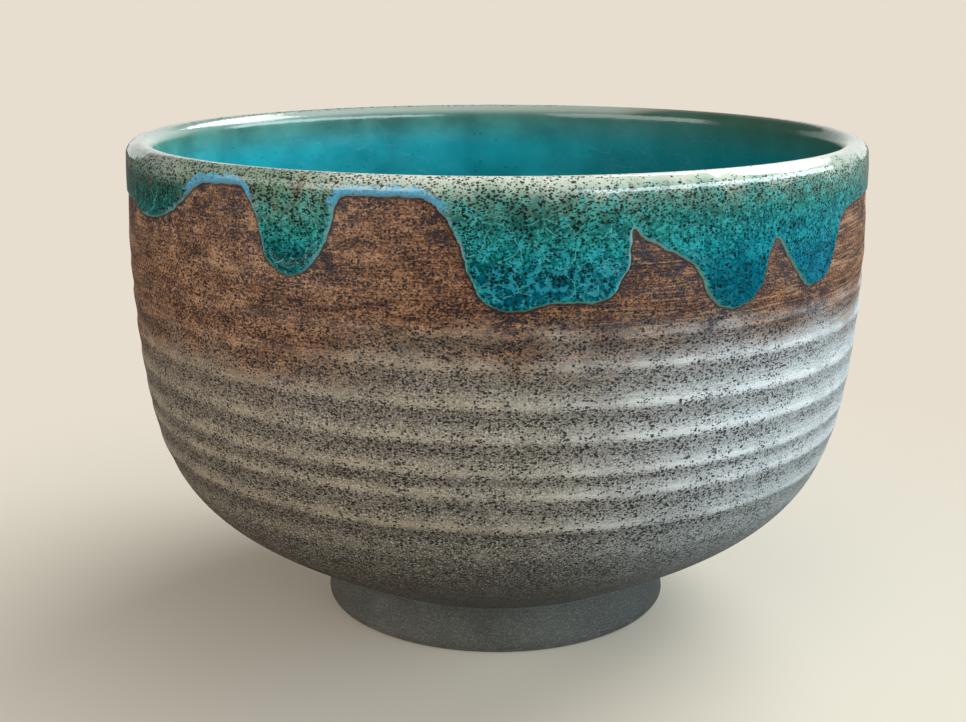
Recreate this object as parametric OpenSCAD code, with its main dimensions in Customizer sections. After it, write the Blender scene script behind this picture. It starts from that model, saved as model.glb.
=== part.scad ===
// Matcha bowl: a thrown stoneware bowl on a foot ring. It is glazed inside and dipped over the lip,
// and the second glaze has run down the outside in drips. Millimetres, +Z up, with the origin at the
// centre of the foot's base and the front towards -Y.

/* [Bowl] */
// Height from the foot's base to the top of the glaze on the lip
bowl_h = 80; // [72:1:95]
// Diameter of the clay where the wall is widest
bowl_d = 120; // [108:1:134]
// How far below the top the wall is widest
widest_drop = 16.3; // [12:0.1:22]
// Radius of the wall's slight barrel curve, seen from the side
barrel_r = 203; // [160:1:400]

/* [Clay thickness] */
// Thickness of the wall at the lip, which is rounded over
lip_t = 3.4; // [2.6:0.1:4.4]
// Thickness that the wall grows to on its way down
wall_t = 4.8; // [4:0.1:6]
// Thickness of the floor over the foot ring
floor_t = 6.2; // [5:0.1:8]
// How squarely the floor turns up into the wall inside: more is squarer
floor_turn = 7; // [5:0.5:8]

/* [Trimmed underside] */
// Slope of the trimmed underside, from level
trim_angle = 27.5; // [24:0.5:32]
// How sharply the underside turns up into the wall: more is sharper
belly_turn = 7.5; // [6:0.5:12]
// Depth that the floor is hollowed out inside the foot ring
foot_dish = 0.8; // [0:0.1:1.5]

/* [Foot ring] */
// Height of the foot ring
foot_h = 7.8; // [5:0.1:12]
// Outer diameter of the foot ring at its base
foot_base_d = 59.2; // [50:0.2:66]
// Outer diameter of the foot ring where it meets the underside
foot_top_d = 58; // [50:0.2:66]
// Width of the ring that stands on the table, with its rounded edges
foot_base_w = 5; // [4:0.1:7]
// Width of the ring where it is luted to the floor
foot_root_w = 6; // [4:0.1:8]
// Radius of the ring's two lower edges
foot_edge_r = 0.9; // [0.3:0.1:1.5]
// Step of the underside outside the ring, which makes the crease there
crease_step = 0.4; // [0:0.1:1.5]

/* [Throwing ridges] */
// Number of ridges round the outside
ridge_count = 7; // [0:1:8]
// How far the first ridge's crest is below the top
ridge_first = 20.4; // [20:0.1:24]
// Distance from one crest to the next
ridge_pitch = 4.7; // [3.5:0.1:5]
// Height of a crest over the valleys beside it
ridge_h = 0.2; // [0:0.05:0.5]
// How close a valley lies to the crest below it: more is closer
ridge_turn = 1.6; // [1:0.1:2.5]

/* [Glaze] */
// Thickness of the glaze inside
liner_t = 0.5; // [0.3:0.05:1]
// Extra depth of the glaze that pooled in the middle of the floor
pool_t = 0.8; // [0:0.1:1.5]
// Diameter of that pool
pool_d = 44; // [20:1:60]
// Thickness of the glaze over the lip
rim_t = 0.5; // [0.3:0.05:1]
// Thickness of the bead at the end of a full run
bead_t = 1; // [0.8:0.05:1.6]
// Width of the bead's rounded edge
bead_w = 1.8; // [1:0.1:3]
// How far the rim's glaze reaches down outside where nothing ran
coat_drop = 2.5; // [2.4:0.1:5]
// How far below the top the inner glaze and the rim's glaze meet
seam_drop = 5; // [3.5:0.1:8]
// Space behind the rim's glaze, which lets its flat facets clear the round wall
skin_gap = 0.02; // [0.02:0.01:0.05]

/* [Fineness] */
// Columns of facets round the rim's glaze
columns = 180; // [90:10:180]

/* [Hidden] */

// Runs of the rim's glaze: [angle to the right of the front, drop below the top at the tip,
// half widths to the left and right at half its length in degrees, squareness of the tip]
RUNS = [
    [-62.7, 9, 12, 14.8, 7],
    [-27, 13.5, 5, 5.1, 6],
    [4.2, 17.2, 8.3, 2, 7],
    [6.5, 16.2, 7.4, 10.3, 11],
    [31.7, 12.5, 14.1, 8, 3.3],
    [32.8, 18.6, 7.3, 6, 4.7],
    [44, 9.5, 16, 12, 8],
    [49, 17.6, 8.9, 6.7, 3],
    [57.9, 7.8, 12, 14, 4.5],
    [93, 14.5, 5.5, 5, 5],
    [103, 6, 6, 6, 6],
    [113, 17.5, 8, 6, 6],
    [124, 12.5, 6, 7, 6],
    [147, 10.5, 5, 6, 5],
    [163, 18.2, 6.2, 7, 6],
    [174, 9, 9, 9, 6],
    [196, 15.4, 4.8, 5.5, 5],
    [222, 16.8, 7, 9.5, 9],
    [234, 11, 6, 8, 6],
    [256, 13.6, 5, 5, 5],
    [270, 7, 10, 10, 6]
];
// Length of a run whose bead is full
full_run = 15;

// Heights and radii that the pieces share
lip_r = lip_t / 2;
lip_z = bowl_h - rim_t - lip_r;
widest_z = bowl_h - widest_drop;
floor_z = foot_h + floor_t;
seam_z = bowl_h - seam_drop;
crease_r = foot_top_d / 2 + crease_step;
foot_root_r = foot_top_d / 2 - foot_root_w;
valley = pow(0.5, 1 / ridge_turn);
ridge_top_z = bowl_h - ridge_first + (1 - valley) * ridge_pitch;
ridge_end_z = ridge_top_z - ridge_count * ridge_pitch;

// Steps that curves are drawn with
under_steps = 26;
ridge_steps = 11;
upper_steps = 8;
inner_steps = 44;
dish_steps = 6;
edge_steps = 6;
lip_step = 30;
run_rows = 6;
round_fn = 180;

// Radius of the thrown wall and of the trimmed underside at a height, each without the other
function wall_r(z) = bowl_d / 2 - pow(z - widest_z, 2) / (2 * barrel_r);
function trim_r(z) = crease_r + (z - foot_h) / tan(trim_angle);

// The two blended into one smooth outline
function body_r(z) =
    pow(pow(trim_r(z), -belly_turn) + pow(wall_r(z), -belly_turn), -1 / belly_turn);

// What a throwing ridge adds to the radius. Each turn of the wheel left a valley a finger wide with
// a sharp crest above and below it, and the band starts and ends in a valley
function ridge(z) =
    z < ridge_top_z && z > ridge_end_z
        ? ridge_h * (1 - sin(180 * pow(crest_share(z), ridge_turn)))
        : 0;

// How far below the last crest a height is, from 0 at that crest to 1 at the next
function crest_share(z) = ((ridge_top_z - z) / ridge_pitch + valley) % 1;

function outer_r(z) = body_r(z) + ridge(z);

// Radius of the clay inside, from the middle of the floor (rise 0) to the lip (rise 1)
function clay_t(rise) = wall_t + (lip_t - wall_t) * rise;
function inner_r(z) =
    let (rise = (z - floor_z) / (lip_z - floor_z))
    (wall_r(z) - clay_t(rise)) * sqrt(1 - pow(1 - rise, floor_turn));

// Middle of the lip's round
lip_mid_r = wall_r(lip_z) - lip_r;

// Points from height a to height b along the outside, without the last
function outside(a, b, steps) =
    [for (i = [0:steps - 1]) let (z = a + (b - a) * i / steps) [outer_r(z), z]];

// Points of the floor and the wall inside, from the middle up to the seam of the two glazes
INSIDE = [
    for (i = [0:inner_steps])
        let (z = floor_z + (seam_z - floor_z) * pow(i / inner_steps, 2))
        [inner_r(z), z]
];

// Points of an arc about [r, z]
function arc(r, z, radius, from, step, to) =
    [for (a = [from:step:to]) [r + radius * cos(a), z + radius * sin(a)]];

// The last points of a list first
function reversed(list) = [for (i = [len(list) - 1:-1:0]) list[i]];

// Underside inside the foot ring: a shallow dish that ends level with the ring's seat
DISH = [
    for (i = [0:dish_steps - 1])
        let (part = i / dish_steps)
        [foot_root_r * part, foot_h + foot_dish * (1 - part * part)]
];

module clay_body() {
    color([0.55, 0.48, 0.41])
        rotate_extrude($fn = round_fn)
            polygon(concat(
                DISH,
                [[foot_root_r, foot_h]],
                outside(foot_h, ridge_end_z, under_steps),
                outside(ridge_end_z, ridge_top_z, max(1, ridge_count * ridge_steps)),
                outside(ridge_top_z, lip_z, upper_steps),
                arc(lip_mid_r, lip_z, lip_r, 0, lip_step, 180),
                reversed(INSIDE)
            ));
}

module foot_ring() {
    base_r = foot_base_d / 2;
    edge_turn = 90 / edge_steps;
    color([0.46, 0.43, 0.38])
        rotate_extrude($fn = round_fn)
            polygon(concat(
                arc(base_r - foot_base_w + foot_edge_r, foot_edge_r, foot_edge_r, 180, edge_turn, 270),
                arc(base_r - foot_edge_r, foot_edge_r, foot_edge_r, 270, edge_turn, 360),
                [[foot_top_d / 2, foot_h], [foot_root_r, foot_h]]
            ));
}

// Glaze thickness inside at a radius, with the pool in the middle
function inside_t(r) =
    liner_t + (r < pool_d / 2 ? pool_t * pow(1 - pow(2 * r / pool_d, 2), 2) : 0);

// Direction out of the clay at a point of INSIDE: straight up in the middle, level at the seam
function inside_normal(i) =
    i == 0 ? [0, 1] :
    i == inner_steps ? [-1, 0] :
    let (along = INSIDE[i + 1] - INSIDE[i - 1])
    [-along[1], along[0]] / norm(along);

module liner_glaze() {
    surface = [
        for (i = [0:inner_steps])
            INSIDE[i] + inside_t(INSIDE[i][0]) * inside_normal(i)
    ];
    color([0.05, 0.48, 0.48])
        rotate_extrude($fn = round_fn)
            polygon(concat(INSIDE, reversed(surface)));
}

// Angle from one bearing to another, from -180 to 180
function turn(from, to) = (to - from + 540) % 360 - 180;

// How far below the top the rim's glaze ends at an angle
function glaze_drop(angle) = max([
    for (run = RUNS)
        let (
            away = turn(run[0], angle),
            off = abs(away) / (away < 0 ? run[2] : run[3])
        )
        coat_drop + max(0, run[1] - coat_drop) / (1 + pow(off, run[4]))
]);

// Slope of that edge, in mm of height for 1 mm round the wall
function edge_slope(angle) =
    (glaze_drop(angle + 0.5) - glaze_drop(angle - 0.5)) / (PI * bowl_d / 360);

// Thickness of the rim's glaze at part of the way down a column that ends at a drop and a slope
function run_t(part, drop, slope) =
    let (
        bead = rim_t + (bead_t - rim_t) * min(1, (drop - coat_drop) / full_run),
        reach = (1 - part) * (bowl_h - drop < lip_z ? drop - bowl_h + lip_z : 0),
        near = min(1, reach / bead_w / sqrt(1 + slope * slope))
    )
    (rim_t + (bead - rim_t) * part) * sqrt(1 - pow(1 - near, 2));

// One column of the rim's glaze as [radius, height] points: over the lip along its face from the
// seam to the lower edge, then back along the clay
function column(angle) =
    let (
        drop = glaze_drop(angle),
        slope = edge_slope(angle),
        edge_z = bowl_h - drop,
        parts = [for (i = [1:run_rows]) 1 - pow(1 - i / run_rows, 2)],
        wall = [for (part = parts) let (z = lip_z + (edge_z - lip_z) * part) [outer_r(z) + skin_gap, z]],
        seam = [inner_r(seam_z), seam_z],
        face = concat(
            [seam - [liner_t, 0]],
            reversed(arc(lip_mid_r, lip_z, lip_r + rim_t, 0, lip_step, 180)),
            [for (i = [0:run_rows - 1]) wall[i] + [run_t(parts[i], drop, slope), 0]]
        ),
        back = concat(
            [seam - [skin_gap, 0]],
            reversed(arc(lip_mid_r, lip_z, lip_r + skin_gap, 0, lip_step, 180)),
            [for (i = [0:run_rows - 2]) wall[i]]
        )
    )
    concat(face, reversed(back));

module rim_glaze() {
    rings = [for (c = [0:columns - 1]) column(360 * c / columns)];
    count = len(rings[0]);
    points = [
        for (c = [0:columns - 1])
            let (angle = 360 * c / columns)
            for (p = rings[c]) [p[0] * sin(angle), -p[0] * cos(angle), p[1]]
    ];
    function at(c, k) = (c % columns) * count + k % count;
    faces = [
        for (c = [0:columns - 1])
            for (k = [0:count - 1])
                for (face = [
                    [at(c, k), at(c + 1, k), at(c + 1, k + 1)],
                    [at(c, k), at(c + 1, k + 1), at(c, k + 1)]
                ])
                    face
    ];
    color([0.08, 0.42, 0.4])
        polyhedron(points, faces);
}

clay_body();
foot_ring();
liner_glaze();
rim_glaze();
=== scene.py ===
import functools
import math

import bpy
import numpy as np
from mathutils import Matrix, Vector, kdtree, noise


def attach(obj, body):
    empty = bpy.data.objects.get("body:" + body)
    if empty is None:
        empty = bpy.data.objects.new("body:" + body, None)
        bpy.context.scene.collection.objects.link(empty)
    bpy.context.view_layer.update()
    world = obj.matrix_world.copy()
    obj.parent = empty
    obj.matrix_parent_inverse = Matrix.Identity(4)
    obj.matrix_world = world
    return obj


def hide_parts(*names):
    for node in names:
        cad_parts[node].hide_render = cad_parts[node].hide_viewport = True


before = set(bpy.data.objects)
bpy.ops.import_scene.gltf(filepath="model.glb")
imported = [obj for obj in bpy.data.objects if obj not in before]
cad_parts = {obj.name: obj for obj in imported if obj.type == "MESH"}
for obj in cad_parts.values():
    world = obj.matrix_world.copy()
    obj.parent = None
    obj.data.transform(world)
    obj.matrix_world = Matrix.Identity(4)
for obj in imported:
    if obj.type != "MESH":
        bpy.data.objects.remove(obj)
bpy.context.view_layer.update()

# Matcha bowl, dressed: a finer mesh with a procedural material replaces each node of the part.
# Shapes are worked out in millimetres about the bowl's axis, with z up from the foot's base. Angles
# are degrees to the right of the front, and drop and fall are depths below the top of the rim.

MM = 0.001

# ---------- the bowl's sizes, as in part.scad
BOWL_H = 80.0
BOWL_R = 60.0
WIDEST_Z = BOWL_H - 16.3
BARREL_R = 203.0
LIP_T = 3.4
WALL_T = 4.8
FLOOR_T = 6.2
FLOOR_TURN = 7.0
TRIM_ANGLE = math.radians(27.5)
BELLY_TURN = 7.5
FOOT_DISH = 0.8
FOOT_H = 7.8
FOOT_BASE_R = 29.6
FOOT_TOP_R = 29.0
FOOT_BASE_W = 5.0
FOOT_ROOT_W = 6.0
FOOT_EDGE_R = 0.9
CREASE_STEP = 0.4
LINER_T = 0.5
POOL_T = 0.8
POOL_R = 22.0
RIM_T = 0.5
SEAM_DROP = 5.0

LIP_R = LIP_T / 2
LIP_Z = BOWL_H - RIM_T - LIP_R
FLOOR_Z = FOOT_H + FLOOR_T
CREASE_R = FOOT_TOP_R + CREASE_STEP
SEAM_Z = BOWL_H - SEAM_DROP
LIP_START = BOWL_H - LIP_Z          # drop at which the outside wall begins, below the lip's round
GIRTH = 2 * math.pi * BOWL_R

# ---------- marks of throwing
# Drop at the front of the crest that the finger left on each turn of the wheel.
CREST_DROPS = (-2.0, 4.5, 10.0, 15.4, 20.4, 24.8, 30.1, 35.0, 39.9, 43.4, 48.5, 53.6, 59.0)
CREST_SLOPE = 6.0                   # how far a crest falls in one turn, where it crosses the front
CREST_SLOPE_LIMIT = 2.6             # and at most so many times the space to the next crest
TURN_STEPS = 40                     # points of each turn
CREST_STAND = 0.22                  # how far the crests stand out of the smooth wall
SCALLOP_DEPTH = 0.15                # how far the valley between two crests goes back in
FAINT_DEPTH = 0.06                  # the same, near the rim
VALLEY_TURN = 1.7                   # above 1 the valley lies nearer the crest below it
TRIM_STEP = 0.20                    # how far the trimmed wall goes in
# The drops between which each of these comes in, or goes out again.
FAINT_STARTS, SCALLOP_STARTS, SCALLOP_ENDS = (6, 10), (15, 21), (48.5, 53)
STAND_STARTS, STAND_ENDS = (5, 16), (50, 62)
TRIM_STARTS, TRIM_ENDS = (48, 51), (54, 66)
# How the depth varies: share of it, waves in a turn, twist for each mm of drop, offset.
UNEVEN = ((0.22, 3, 0.21, 0), (0.15, 7, -0.13, 1))

# ---------- fineness and small offsets of the turned pieces
CLAY_COLUMNS, FOOT_COLUMNS, LINER_COLUMNS = 480, 360, 300
CLAY_CORE, LINER_CORE = 0.05, 0.04  # how near the axis their profiles come
RIDGED_ROW = 0.45                   # height of a row on the ridged wall
GLAZE_REACH = 30.0                  # the clay knows its distance from the glaze down to this drop
FOOT_WOBBLE = ((0.10, 2, 0.6), (0.07, 5, 2), (0.04, 11, 0))     # size, waves in a turn, offset
FOOT_TRUE_H = 2                     # height over which the wobble comes in
FOOT_INSET = 0.12                   # keeps the wobble inside the solid's outline
LINER_BACK = 0.2                    # how deep the liner's back lies in the clay
TUCK, TUCK_TOP = 0.012, 0.02        # how much thinner it gets near the seam, and at its top

# ---------- the glaze's lower edge
# Corners of the edge across the front: angle, drop.
FRONT_EDGE = (
    (-68, 7.7), (-60.5, 9.1), (-55, 8.9), (-51, 7.7), (-48.3, 6.2), (-45.4, 4.2), (-42.7, 2.8),
    (-36.9, 2.4), (-34.8, 2.7), (-33.2, 4.7), (-32, 7.9), (-31, 11.2), (-29.4, 12.95),
    (-27.4, 13.7), (-25.3, 13.2), (-23.4, 11.6), (-21.9, 8.8), (-20.8, 5.8), (-20.2, 3.5),
    (-19.2, 2.7), (-17, 2.65), (-13.7, 2.64), (-10.7, 2.65), (-8.3, 3.05), (-6.4, 4.9),
    (-4.9, 7.5), (-4, 10.3), (-3.1, 13.1), (-1.8, 15.5), (-0.4, 16.6), (1.2, 17.2), (3.7, 17.05),
    (5.5, 16.4), (8.6, 16.2), (11.8, 16.3), (13.8, 15.8), (14.9, 15.0), (15.6, 13.4),
    (16.6, 11.6), (16.9, 9.5), (17.2, 6.9), (19.3, 8.6), (23.4, 10.7), (25.6, 12), (26.9, 13.95),
    (27.9, 16.2), (30, 18.1), (32.2, 18.7), (34.4, 18.2), (36.7, 16.2), (37.9, 13.1), (38.7, 11),
    (39.8, 9.8), (41.6, 12), (43.6, 14.5), (45.7, 16.8), (47.7, 17.55), (50.1, 17.2),
    (52.4, 15.8), (53.9, 13), (55.6, 10.2), (57.6, 8.3), (63.9, 7.4), (70, 7.2),
)
# Runs on the sides and the back: angle, drop at the tip, half width in degrees, squareness.
BACK_RUNS = (
    (93, 14.5, 5.5, 5), (103, 6, 6, 6), (113, 17.5, 7, 7), (124, 12.5, 6, 6), (147, 10.5, 5, 5),
    (163, 18.2, 6.2, 6), (174, 9, 9, 6), (196, 15.4, 4.8, 5), (222, 16.8, 8.5, 9),
    (234, 11, 6, 6), (256, 13.6, 5, 5), (270, 7, 10, 6), (71, 7.2, 7, 6), (289, 7.9, 9, 6),
)
COAT_DROP = 2.6                     # where nothing ran
BACK_STARTS, BACK_ENDS = 1.5, 1     # degrees from the front's corners to the back's
BACK_STEP = 0.75                    # degrees between the corners at the back
EDGE_STEP = 0.05                    # space between the points of its curve
WAVER = ((0.20, 1.0), (0.11, 2.6))  # how far its points are pushed aside, and how finely
WAVER_R, WAVER_H = 40, 0.7          # radius and scale of height that this is read at
EDGE_OVERLAP = 30                   # how far the edge is repeated past its ends

# ---------- the rim's glaze
RIM_COLUMNS = 980
RIM_SAMPLES, RIM_SMOOTHING = 7200, 25   # points round the rim that its slope is read at
RIM_STEEP = 2.5                     # slopes of the edge above this get no further columns
RIM_CROWD = 0.9                     # how much closer the columns stand where the edge is steep
LIP_INSIDE = -0.94                  # fall at which the colours of the inside begin
SEAM_ROWS, LIP_ROWS = 6, 15         # rows inside, and over the lip's round
RIM_ROW, RIM_END = 0.3, 20.4        # height of a row outside, and the drop of the last
RIM_MARGIN = 0.45                   # how far the sheet goes on past the edge, sunk in the clay
RIM_BACK = 0.45                     # how deep the back of the sheet lies in the clay
SWELL, SWELL_R, SWELL_H = 0.07, 18, 0.22    # height of its swells, and where they are read
SWELL_EDGE = 0.6                    # depth at which they begin
COAT_T, COAT_THINS = 0.46, 0.18     # thickness of the coat below the lip, and what it loses
COAT_THINS_FROM = (2.5, 8.0)        # between these drops
LOW_RUN = (8.0, 16.0)               # drops between which a run gets its full bead
BEAD_T, BEAD_W, BEAD_W_LOW = 0.36, 0.55, 0.75   # its height, its width, and the width it gains
SETTLE, SETTLE_W = 0.12, 3.4        # how far the glaze sinks behind it, and over what width

# ---------- the stage
BACKGROUND = (231, 222, 207)        # pale paper, as seen on the screen
FLOOR_PAPER = (216, 205, 187)       # the paper's own colour, under the lamps
FLOOR_BOUNCE = (96, 88, 80)         # what the paper sends back to the bowl
FLOOR_R = 6.0                       # metres
SHADOW_FADE = (50, 160)             # mm from the axis over which the lit paper turns to background
WORLD_FILL = (0.93, 0.97, 1.0, 1.0)
WORLD_FILL_STRENGTH = 0.2
CAMERA_PLACE = (0.0, -0.2424, 0.1034)
CAMERA_TILT, CAMERA_PAN = 90 - 14.49, 0.53
CAMERA_LENS, CAMERA_SENSOR = 54.04, 36
CAMERA_NEAR = 0.01
LAMP_TARGET = (0, 0, 0.04)
# name, place in metres, width, height, watts, colour
LAMPS = (
    ("window_key", (0.92, -0.34, 0.32), 2.0, 0.36, 17.0, (0.76, 0.90, 1.0)),
    ("window_top", (0.60, 0.54, 0.72), 1.0, 0.45, 12.0, (0.88, 0.95, 1.0)),
    ("back_board", (0.0, 1.25, 0.30), 2.2, 0.5, 3.0, (1.0, 0.98, 0.94)),
    ("front_fill", (-1.0, -0.72, 0.46), 1.6, 0.8, 13.2, (1.0, 0.97, 0.93)),
)

# ---------- grains, in millimetres
SAND, GRIT = 0.26, 0.3
FINE_CELL, FINE_R = 0.33, 0.145     # one iron grain of this radius in a cell, at most
COARSE_CELL, COARSE_R = 0.52, 0.20
LINER_CELL, LINER_R = 0.9, 0.2
GRAIN_SQUASH = (0.85, 0.85, 1.2)
CREST_SPACE = 4.7                   # from one crest to the next, about

# ---------- colours, as seen on a screen
# A ramp is a row of (place, colour). Pairs named LEFT_RIGHT go from the left to the right.
UPPER_STONE = ((0.3, (142, 131, 112)), (0.7, (168, 157, 138)))
LOWER_STONE = ((0.3, (98, 95, 84)), (0.7, (118, 116, 104)))
# Painted sheen: the pale cool light on the right of the wall, in its upper and lower parts.
UPPER_PAINTED_SHEEN, LOWER_PAINTED_SHEEN = (210, 218, 219), (168, 178, 175)
WARM_SIDE = (122, 104, 78)
# Streaks from the wheel; also painted shade in the valley under each crest.
STREAK_AND_VALLEY_SHADE = (96, 86, 72)
PALE_SAND, DARK_SAND = (214, 209, 196), (78, 72, 64)
# Painted light on the slope above each crest, and the crest's pale thread, partly a painted
# highlight; both whiter to the right.
CREST_SLOPE_PAINTED_LIGHT_LEFT_RIGHT = ((168, 150, 120), (216, 216, 210))
CREST_THREAD_AND_HIGHLIGHT_LEFT_RIGHT = ((194, 178, 150), (232, 232, 226))
IRON_WASH = (
    (0.41, (46, 30, 23)), (0.46, (84, 57, 42)), (0.505, (120, 83, 60)), (0.55, (150, 109, 80)),
    (0.61, (182, 143, 110)),
)
WASH_TO_RIGHT = (240, 220, 198)
WASH_LINE = (176, 138, 106)
IRON_SPECK, BLUE_SPECK = (28, 26, 28), (30, 30, 44)
GLAZE_STAIN = (46, 28, 20)

# The foot's stone, darker as painted shade, and more painted shade on its right.
FOOT_STONE_AND_SHADE = ((0.3, (63, 62, 55)), (0.7, (82, 81, 72)))
FOOT_PAINTED_SHADE_RIGHT = (50, 52, 47)
FOOT_PALE_SAND, FOOT_DARK_SAND = (146, 144, 130), (62, 60, 54)
FOOT_SPECK, FOOT_WORN = (46, 44, 42), (150, 146, 132)

POOL = ((0.3, (18, 132, 140)), (0.7, (32, 164, 174)))
UNDER_LIP = ((0.35, (66, 106, 90)), (0.65, (90, 138, 120)))
# Painted shade on the right of the inside, under the lip and further down.
POOL_PAINTED_SHADE_RIGHT, UNDER_LIP_PAINTED_SHADE_RIGHT = (8, 86, 86), (42, 74, 58)
FLOOR_POOL, LINER_SPECK, LINER_CRACK = (8, 84, 96), (10, 62, 66), (110, 200, 196)

RIM_GLAZE = (
    (0.00, (228, 226, 206)), (0.07, (196, 206, 182)), (0.14, (116, 156, 134)),
    (0.28, (56, 136, 120)), (0.48, (28, 136, 132)), (0.70, (8, 120, 126)), (0.92, (0, 84, 100)),
)
LEFT_GREEN = (116, 146, 116)
MILKY_GLAZE, DARK_GLAZE = (62, 178, 174), (0, 62, 60)
MIDDLE_STAIN = (34, 58, 40)
DEEP_GLAZE, DEEP_LEFT_GLAZE = (0, 78, 96), (0, 66, 64)
RIGHT_GLAZE = (0, 118, 136)
TIP_LEFT_RIGHT = ((0, 76, 90), (0, 104, 126))
LEFT_END_GLAZE = (12, 74, 60)
# Painted shade on the lip: along the back from left to right, and at its two ends.
FAR_LIP_SHADE_LEFT_RIGHT = ((152, 162, 148), (104, 90, 64))
LEFT_END_LIP_SHADE, RIGHT_END_LIP_SHADE = (118, 140, 126), (146, 156, 142)
SKY_FRINGE, PALE_FRINGE, CREAM_FRINGE = (90, 178, 214), (132, 168, 190), (140, 170, 140)
RUST = (112, 74, 36)
DARK_CRACK, PALE_CRACK, CRUMPLE = (0, 50, 54), (128, 214, 206), (58, 176, 186)
RIM_SPECK = (10, 16, 18)


# ---------- shape of the clay
def smoothstep(value, low, high):
    t = np.clip((value - low) / (high - low), 0.0, 1.0)
    return t * t * (3 - 2 * t)


def wall_r(z):
    return BOWL_R - (z - WIDEST_Z) ** 2 / (2 * BARREL_R)


def body_r(z):
    """Radius of the smooth outside, where the thrown wall and the trimmed underside blend."""
    trim = CREASE_R + (z - FOOT_H) / math.tan(TRIM_ANGLE)
    return (trim ** -BELLY_TURN + wall_r(z) ** -BELLY_TURN) ** (-1 / BELLY_TURN)


def inner_r(z):
    rise = np.clip((z - FLOOR_Z) / (LIP_Z - FLOOR_Z), 0.0, 1.0)
    wall = wall_r(z) - (WALL_T + (LIP_T - WALL_T) * rise)
    return wall * np.sqrt(1 - (1 - rise) ** FLOOR_TURN)


LIP_MID_R = wall_r(LIP_Z) - LIP_R


def crest_table():
    """Turns of the throwing spiral against the drop below the rim, as two long arrays."""
    turns, drops = [], []
    t = np.linspace(0, 1, TURN_STEPS, endpoint=False)
    for turn, (low, high) in enumerate(zip(CREST_DROPS, CREST_DROPS[1:])):
        slope = min(CREST_SLOPE, CREST_SLOPE_LIMIT * (high - low))
        drops.append(low * (1 + 2 * t) * (1 - t) ** 2 + high * t * t * (3 - 2 * t)
                     + slope * t * (1 - t) * (1 - 2 * t))
        turns.append(turn + t)
    return np.concatenate(turns), np.maximum.accumulate(np.concatenate(drops))


TURNS, TURN_DROPS = crest_table()


def crest_phase(angle, z):
    """0 at a crest, rising to 1 at the next crest below it."""
    phase = np.interp(BOWL_H - z, TURN_DROPS, TURNS) - angle / 360
    return phase - np.floor(phase)


def throwing(angle, z):
    """How far the thrown wall stands out (+) or in (-) of its smooth shape."""
    drop = BOWL_H - z
    a = np.radians(angle)
    uneven = sum((share * np.sin(waves * a + twist * drop + offset)
                  for share, waves, twist, offset in UNEVEN), 1)
    depth = (FAINT_DEPTH * smoothstep(drop, *FAINT_STARTS)
             + (SCALLOP_DEPTH - FAINT_DEPTH) * smoothstep(drop, *SCALLOP_STARTS))
    depth = depth * (1 - smoothstep(drop, *SCALLOP_ENDS)) * uneven
    scallop = np.sin(math.pi * crest_phase(angle, z) ** VALLEY_TURN)
    stand = smoothstep(drop, *STAND_STARTS) * (1 - smoothstep(drop, *STAND_ENDS))
    trim = smoothstep(drop, *TRIM_STARTS) * (1 - smoothstep(drop, *TRIM_ENDS))
    return CREST_STAND * stand - depth * scallop - TRIM_STEP * trim


def outer_r(angle, z):
    return body_r(z) + throwing(angle, z)


# ---------- mesh helpers
def around(angle, radius, height):
    """Points at the same place in three grids of angle, radius and height."""
    a = np.radians(angle)
    return np.stack([radius * np.sin(a), -radius * np.cos(a), height], axis=-1)


def full_turn(count):
    return np.arange(count) * (360 / count) - 180


def turned(angles, profile):
    """Grids with a column for each angle: the angles, then each row of the profile's values."""
    grids = [np.repeat(row[None, :], len(angles), axis=0) for row in profile]
    return np.repeat(angles[:, None], len(profile[0]), axis=1), *grids


def grid_faces(columns, rows, keep=None):
    """Quads of a grid of columns x rows points, the columns running round the bowl."""
    c = np.arange(columns)[:, None]
    r = np.arange(rows - 1)[None, :]
    here, there = c * rows + r, ((c + 1) % columns) * rows + r
    quads = np.stack([here, there, there + 1, here + 1], axis=-1)
    return quads.reshape(-1, 4) if keep is None else quads[keep]


def tube_faces(columns, rows):
    """Quads of such a grid, the other way round, whose last row joins its first."""
    here = np.arange(columns)[:, None] * rows
    there = np.roll(here, -1, axis=0)
    row = np.arange(rows)[None, :]
    after = (row + 1) % rows
    return np.stack([here + row, here + after, there + after, there + row],
                    axis=-1).reshape(-1, 4)


def make_mesh(name, points, faces, attributes=None, flat_from=None):
    """A piece with smooth faces up to flat_from, and values for its points."""
    mesh = bpy.data.meshes.new(name)
    mesh.from_pydata((points.reshape(-1, 3) * MM).tolist(), [], faces.tolist())
    for key, values in (attributes or {}).items():
        layer = mesh.attributes.new(key, "FLOAT", "POINT")
        layer.data.foreach_set("value", np.ascontiguousarray(values.ravel(), np.float32))
    smooth = np.ones(len(mesh.polygons), bool)
    smooth[flat_from:] = flat_from is None
    mesh.polygons.foreach_set("use_smooth", smooth)
    mesh.validate()
    mesh.update()
    piece = bpy.data.objects.new(name, mesh)
    bpy.context.scene.collection.objects.link(piece)
    return piece


# ---------- the glaze's edge
def noise_spot(a, radius, height):
    """Where noise is read for an angle in radians, so that it closes round the bowl."""
    return Vector((math.cos(a) * radius, math.sin(a) * radius, height))


def run_drop(angle):
    drop = np.full(angle.shape, COAT_DROP)
    for middle, tip, half, square in BACK_RUNS:
        away = (angle - middle + 180) % 360 - 180
        run = COAT_DROP + (tip - COAT_DROP) / (1 + np.abs(away / half) ** square)
        drop = np.maximum(drop, run)
    return drop


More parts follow.
